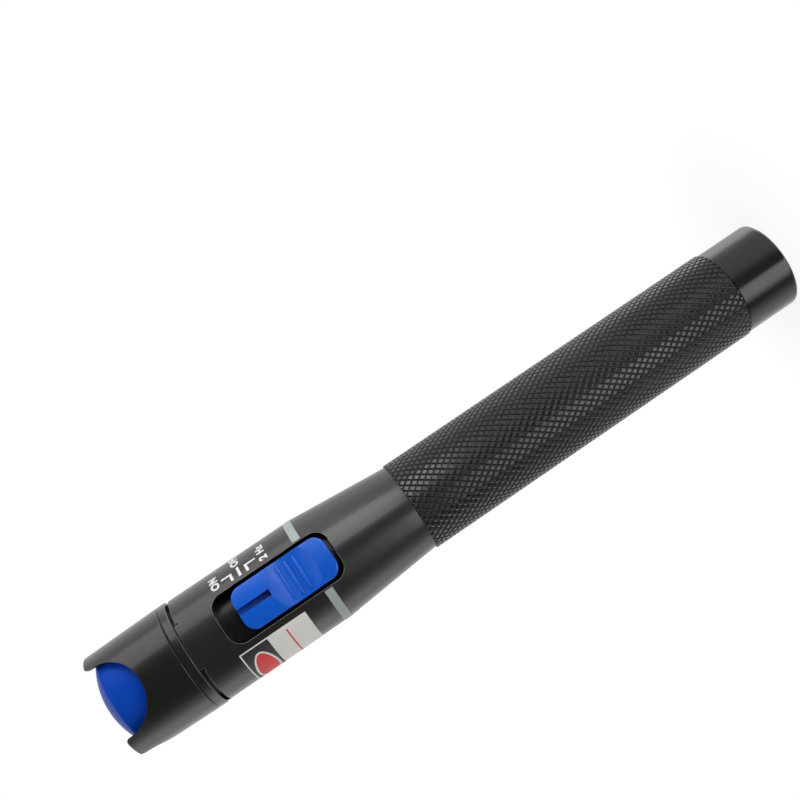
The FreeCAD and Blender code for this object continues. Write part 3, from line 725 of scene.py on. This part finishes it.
# The warning label: a white edge round a dark and a pale field, a red rule and a red oval.
LABEL_LOW, LABEL_SPLIT, LABEL_HIGH = 154.9, 166.3, 174.3
RIM = 0.35
RULE_INSET = 1.2
RULE = (160.9, 161.3)
OVAL_LEVEL = 170.1
OVAL_ACROSS, OVAL_ALONG, OVAL_RIM = 7.7, 3.15, 0.55
label_left, label_right, oval_middle = girth(-113.0), girth(-35.3), girth(-74.0)
field = (label_left + RIM, label_right - RIM)
rule_ends = (label_left + RULE_INSET, label_right - RULE_INSET)
print_on("label_edge", strip(label_left, label_right, LABEL_LOW, LABEL_HIGH), WHITE_INK)
print_on("label_dark", strip(*field, LABEL_SPLIT, LABEL_HIGH - RIM), DARK_INK, 1.5)
print_on("label_pale", strip(*field, LABEL_LOW + RIM, LABEL_SPLIT - RIM), PALE_INK, 1.5)
print_on("label_rule", strip(*rule_ends, *RULE), RED_INK, 2.0)
outer_oval = oval(oval_middle, OVAL_LEVEL, OVAL_ACROSS, OVAL_ALONG)
inner_oval = oval(oval_middle, OVAL_LEVEL, OVAL_ACROSS - OVAL_RIM, OVAL_ALONG - OVAL_RIM)
print_on("label_oval_edge", outer_oval, WHITE_INK, 2.0)
print_on("label_oval", inner_oval, RED_INK, 2.5)


# ---------------------------------------------------------------- studio

WHITE = (1.0, 1.0, 1.0)
MID_HEIGHT = 0.11


def area_lamp(name, azimuth, distance, level, size, radiance, tint=WHITE, kind="full"):
    """A softbox that faces the pen, its sizes in metres.

    Azimuth is from the switch side, positive toward -X. A fill lamp isn't mirrored;
    a glint lamp is only mirrored, and faces level.
    """
    width, height = size
    lamp = bpy.data.lights.new(name, "AREA")
    lamp.shape = "RECTANGLE"
    lamp.size = width
    lamp.size_y = height
    lamp.energy = radiance * math.pi * width * height
    lamp.color = tint
    made = bpy.data.objects.new(name, lamp)
    made.visible_glossy = kind != "fill"
    made.visible_diffuse = kind != "glint"
    bpy.context.scene.collection.objects.link(made)
    turn = math.radians(azimuth)
    spot = Vector((-math.sin(turn) * distance, -math.cos(turn) * distance, level))
    aim = Vector((0, 0, level if kind == "glint" else MID_HEIGHT)) - spot
    made.location = spot
    made.rotation_euler = aim.to_track_quat("-Z", "Y").to_euler()


area_lamp("upper_softbox", -60, 0.50, 0.245, (0.42, 0.33), 2.05, tint=(1.0, 0.985, 0.96))
area_lamp("low_key", -34, 0.27, 0.045, (0.15, 0.11), 7.0, kind="fill")
area_lamp("side_fill", 80, 0.50, 0.20, (0.30, 0.40), 2.2, kind="fill")
area_lamp("rear_fill", 112, 0.55, 0.20, (0.20, 0.40), 0.5)
area_lamp("cone_glint", -29, 0.12, 0.112, (0.09, 0.040), 3.6, kind="glint")
area_lamp("grip_glint", 40, 0.12, 0.049, (0.085, 0.094), 1.9, kind="glint")
area_lamp("top_fill", -20, 0.20, 0.42, (0.20, 0.20), 3.6, kind="fill")


def studio_floor():
    """Pale floor that keeps the shadow at the foot and is nearly white to the eye beyond it."""
    f = Finish("pale_floor")
    shadow_inner, shadow_outer = 0.010, 0.045
    far = f.span(f.radius(), shadow_inner, shadow_outer)
    mottle = f.noise(40.0, 3.0)
    pale = {"Color": f.blend(mottle, grey(0.86), grey(0.9))}
    matt = f.node("ShaderNodeBsdfDiffuse", None, pale)
    white = f.node("ShaderNodeEmission", None, {"Color": grey(1.0), "Strength": 1.0})
    share = f.ray("Camera") * (0.88 + far * 0.12) + f.ray("Transmission")
    both = f.node("ShaderNodeMixShader", None, {0: share, 1: matt, 2: white})
    f.node("ShaderNodeOutputMaterial", None, {"Surface": both})
    work = bmesh.new()
    bmesh.ops.create_circle(work, cap_ends=True, segments=96, radius=0.45)
    mesh = bpy.data.meshes.new("studio_floor")
    work.to_mesh(mesh)
    work.free()
    mesh.materials.append(f.material)
    made = bpy.data.objects.new("studio_floor", mesh)
    made.visible_glossy = False
    bpy.context.scene.collection.objects.link(made)


studio_floor()


def studio_world():
    """White to the eye and behind in reflections; in front, dark with soft bands low down."""
    world = bpy.data.worlds.new("studio")
    world.use_nodes = True
    world.node_tree.nodes.clear()
    t = Tree(world.node_tree)
    x, y, z = t.parts(t.node("ShaderNodeTexCoord", output="Generated"))
    turn = t.maths("ARCTAN2", 0.0 - x, 0.0 - y) * (180 / math.pi)

    def band(rise, fall, strength):
        """Light between two azimuths, counted as the lamps' are.

        Rise and fall say where each edge of the band starts and ends.
        """
        return t.fade(turn, *rise) * (1.0 - t.fade(turn, *fall)) * strength

    low = 1.0 - t.fade(z, -0.34, -0.22)
    under = 1.0 - t.fade(z, -0.1, 0.2)
    behind = t.fade(y, -0.35, 0.35)
    right_band = band((18.0, 25.0), (46.0, 70.0), 2.6)
    left_band = band((-140.0, -105.0), (-100.0, -88.0), 1.4)
    tail_glow = band((-105.0, -80.0), (-24.0, 2.0), 0.7)
    grip_glow = band((-125.0, -80.0), (-40.0, -20.0), 0.8)
    low_front = low * (0.08 + right_band + left_band + tail_glow)
    front = 0.03 + low_front + under * (1.0 - low) * grip_glow
    mirrored = front + behind * 0.97
    diffuse = 0.16
    plain = (1.0 - t.ray("Camera")) * (1.0 - t.ray("Transmission"))
    glossy = t.ray("Glossy")
    strength = (1.0 - plain) + plain * (glossy * mirrored + (1.0 - glossy) * diffuse)
    back = t.node("ShaderNodeBackground", None, {"Color": grey(1.0), "Strength": strength})
    t.node("ShaderNodeOutputWorld", None, {"Surface": back})
    bpy.context.scene.world = world


studio_world()


def camera():
    """A long lens, turned so that the pen lies aslant in its frame."""
    lens = bpy.data.cameras.new("camera")
    lens.sensor_width = 36.0
    lens.lens = 54.574
    lens.clip_start = 0.01
    lens.clip_end = 20.0
    made = bpy.data.objects.new("camera", lens)
    bpy.context.scene.collection.objects.link(made)
    right = Vector((-0.56115107, 0.03218456, -0.82708744))
    up = Vector((0.79954864, -0.23737085, -0.55170376))
    back = Vector((-0.2140828, -0.9708858, 0.10746778))
    spot = (-0.0442239, -0.3154838, 0.1387976)
    turn = Matrix((right, up, back)).transposed().to_4x4()
    made.matrix_world = Matrix.Translation(spot) @ turn
    bpy.context.scene.camera = made


camera()
bpy.context.scene.view_settings.view_transform = "Standard"
